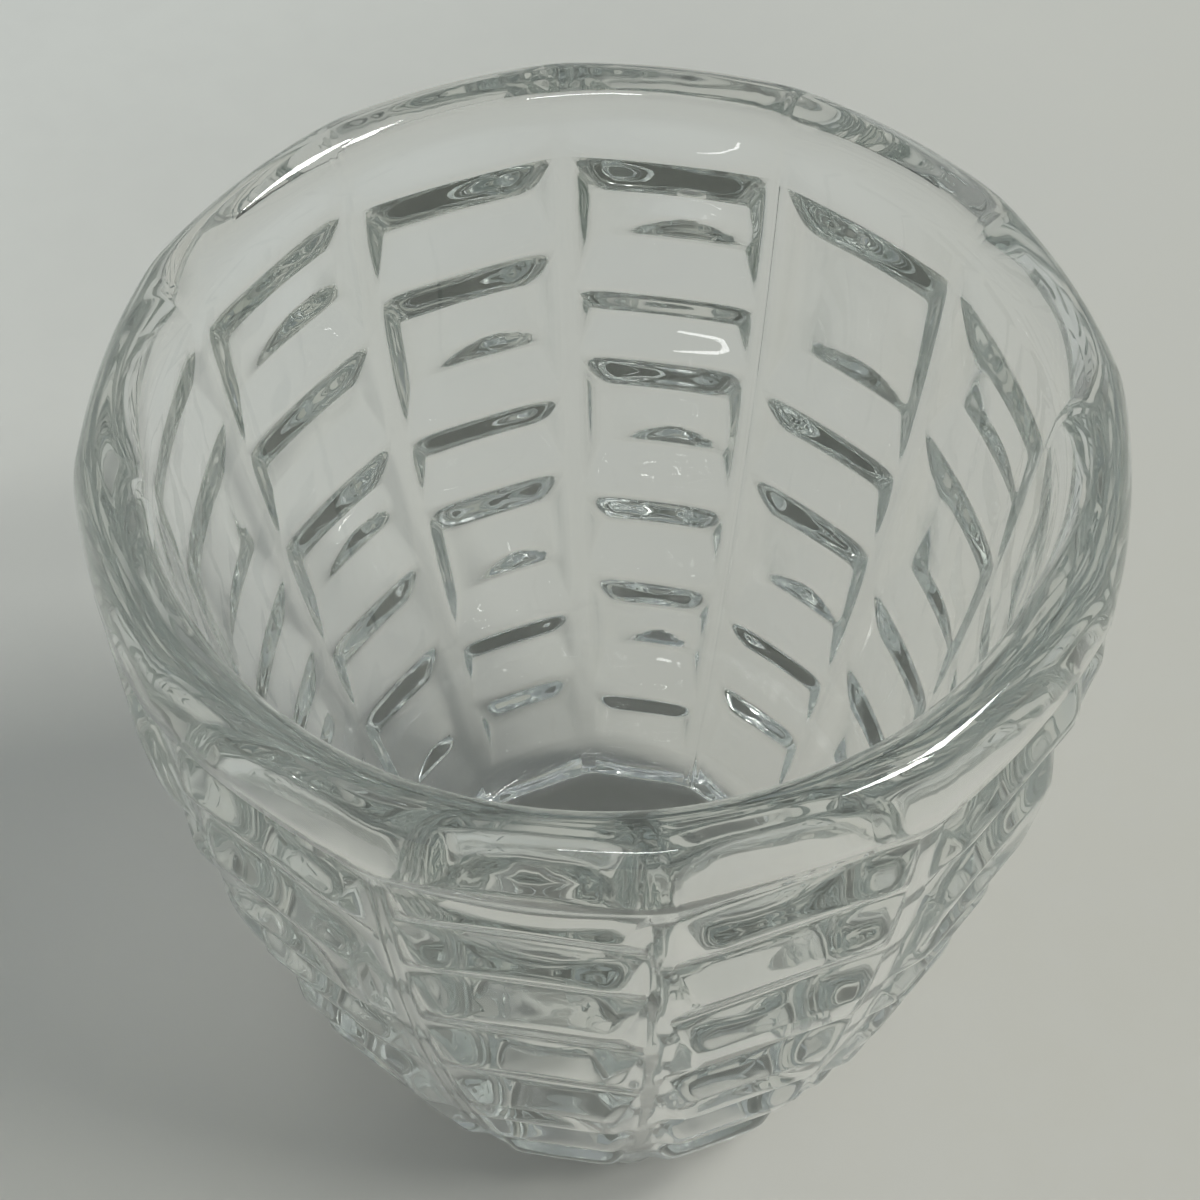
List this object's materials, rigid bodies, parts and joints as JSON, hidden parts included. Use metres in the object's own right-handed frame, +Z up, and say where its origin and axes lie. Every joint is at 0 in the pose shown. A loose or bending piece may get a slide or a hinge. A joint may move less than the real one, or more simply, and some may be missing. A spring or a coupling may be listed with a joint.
{
  "type": "mixing glass",
  "caption": "Heavy pressed clear-glass mixing glass: rounded lip, tapering bowl, smooth inside, upright columns of raised wedge-shaped blocks outside, thick flat base.",
  "frame": {"origin": "middle of the underside of the base, on the surface the glass stands on", "axes": "+Z up along the glass's axis to the mouth; -Y is the front, the side nearest the viewer; +X is to the viewer's right"},
  "size_m": [0.0918, 0.0919, 0.101],
  "materials": {
    "glass": "fire-polished clear glass with a faint grey-green tint"
  },
  "bodies": {
    "root": {"glass_body": "glass"}
  },
  "joints": []
}
